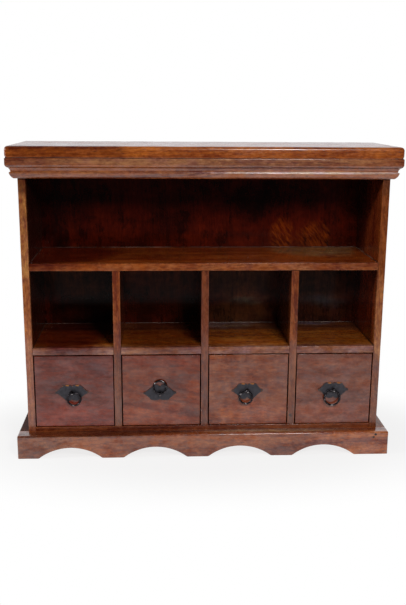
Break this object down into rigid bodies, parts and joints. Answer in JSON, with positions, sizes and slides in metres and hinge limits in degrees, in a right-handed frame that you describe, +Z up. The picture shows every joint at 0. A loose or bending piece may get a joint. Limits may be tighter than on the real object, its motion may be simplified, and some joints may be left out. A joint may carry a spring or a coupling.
{
  "type": "wall shelf",
  "caption": "Hardwood wall shelf with an open top compartment, a row of pigeonholes, drawers with iron ring pulls, a moulded cornice and a scalloped plinth.",
  "frame": {"origin": "on the floor, in the middle of the overall width and depth", "axes": "+X to the right along the width, +Y from the front to the wall, +Z up"},
  "size_m": [0.608, 0.185, 0.5],
  "materials": {
    "lacquered_wood": "red-brown hardwood under glossy lacquer",
    "drawer_front_wood": "figured red-brown hardwood under glossy lacquer",
    "back_wood": "dark red-brown hardwood, satin",
    "drawer_box_wood": "bare sanded hardwood",
    "black_iron": "blackened wrought iron",
    "zinc_steel": "zinc plated"
  },
  "bodies": {
    "case": {"left_side": "lacquered_wood", "right_side": "lacquered_wood", "bottom_board": "lacquered_wood", "lower_shelf": "lacquered_wood", "upper_shelf": "lacquered_wood", "divider_1": "lacquered_wood", "divider_2": "lacquered_wood", "divider_3": "lacquered_wood", "back_plank_left": "back_wood", "back_plank_right": "back_wood", "hanging_rail": "back_wood", "top_board": "lacquered_wood", "cornice_front": "lacquered_wood", "cornice_left": "lacquered_wood", "cornice_right": "lacquered_wood", "plinth_front": "lacquered_wood", "plinth_left": "lacquered_wood", "plinth_right": "lacquered_wood", "hanger_left": "zinc_steel", "hanger_right": "zinc_steel", "hanger_screws": "zinc_steel", "plinth_nails": "black_iron", "back_nails": "black_iron"},
    "drawer_1": {"drawer_1_front": "drawer_front_wood", "drawer_1_left_side": "drawer_box_wood", "drawer_1_right_side": "drawer_box_wood", "drawer_1_back": "drawer_box_wood", "drawer_1_bottom": "drawer_box_wood", "drawer_1_plate": "black_iron", "drawer_1_pin": "black_iron", "drawer_1_nails": "black_iron"},
    "ring_1": {"ring_1": "black_iron"},
    "drawer_2": {"drawer_2_front": "drawer_front_wood", "drawer_2_left_side": "drawer_box_wood", "drawer_2_right_side": "drawer_box_wood", "drawer_2_back": "drawer_box_wood", "drawer_2_bottom": "drawer_box_wood", "drawer_2_plate": "black_iron", "drawer_2_pin": "black_iron", "drawer_2_nails": "black_iron"},
    "ring_2": {"ring_2": "black_iron"},
    "drawer_3": {"drawer_3_front": "drawer_front_wood", "drawer_3_left_side": "drawer_box_wood", "drawer_3_right_side": "drawer_box_wood", "drawer_3_back": "drawer_box_wood", "drawer_3_bottom": "drawer_box_wood", "drawer_3_plate": "black_iron", "drawer_3_pin": "black_iron", "drawer_3_nails": "black_iron"},
    "ring_3": {"ring_3": "black_iron"},
    "drawer_4": {"drawer_4_front": "drawer_front_wood", "drawer_4_left_side": "drawer_box_wood", "drawer_4_right_side": "drawer_box_wood", "drawer_4_back": "drawer_box_wood", "drawer_4_bottom": "drawer_box_wood", "drawer_4_plate": "black_iron", "drawer_4_pin": "black_iron", "drawer_4_nails": "black_iron"},
    "ring_4": {"ring_4": "black_iron"}
  },
  "joints": [
    {"name": "drawer_1_slide", "type": "slide", "parent": "case", "child": "drawer_1", "axis": [0, -1, 0], "range_m": [0, 0.12]},
    {"name": "ring_1_swing", "type": "hinge", "parent": "drawer_1", "child": "ring_1", "pos_m": [-0.2154, -0.0749, 0.10595], "axis": [-0.9563, 0, -0.2924], "range_deg": [-5, 185]},
    {"name": "drawer_2_slide", "type": "slide", "parent": "case", "child": "drawer_2", "axis": [0, -1, 0], "range_m": [0, 0.12]},
    {"name": "ring_2_swing", "type": "hinge", "parent": "drawer_2", "child": "ring_2", "pos_m": [-0.0728, -0.0749, 0.10295], "axis": [1, 0, 0], "range_deg": [0, 191]},
    {"name": "drawer_3_slide", "type": "slide", "parent": "case", "child": "drawer_3", "axis": [0, -1, 0], "range_m": [0, 0.12]},
    {"name": "ring_3_swing", "type": "hinge", "parent": "drawer_3", "child": "ring_3", "pos_m": [0.0703, -0.0749, 0.10595], "axis": [-0.9744, 0, 0.225], "range_deg": [-5, 185]},
    {"name": "drawer_4_slide", "type": "slide", "parent": "case", "child": "drawer_4", "axis": [0, -1, 0], "range_m": [0, 0.12]},
    {"name": "ring_4_swing", "type": "hinge", "parent": "drawer_4", "child": "ring_4", "pos_m": [0.2124, -0.0749, 0.10595], "axis": [-0.9903, 0, 0.1392], "range_deg": [-5, 185]}
  ]
}
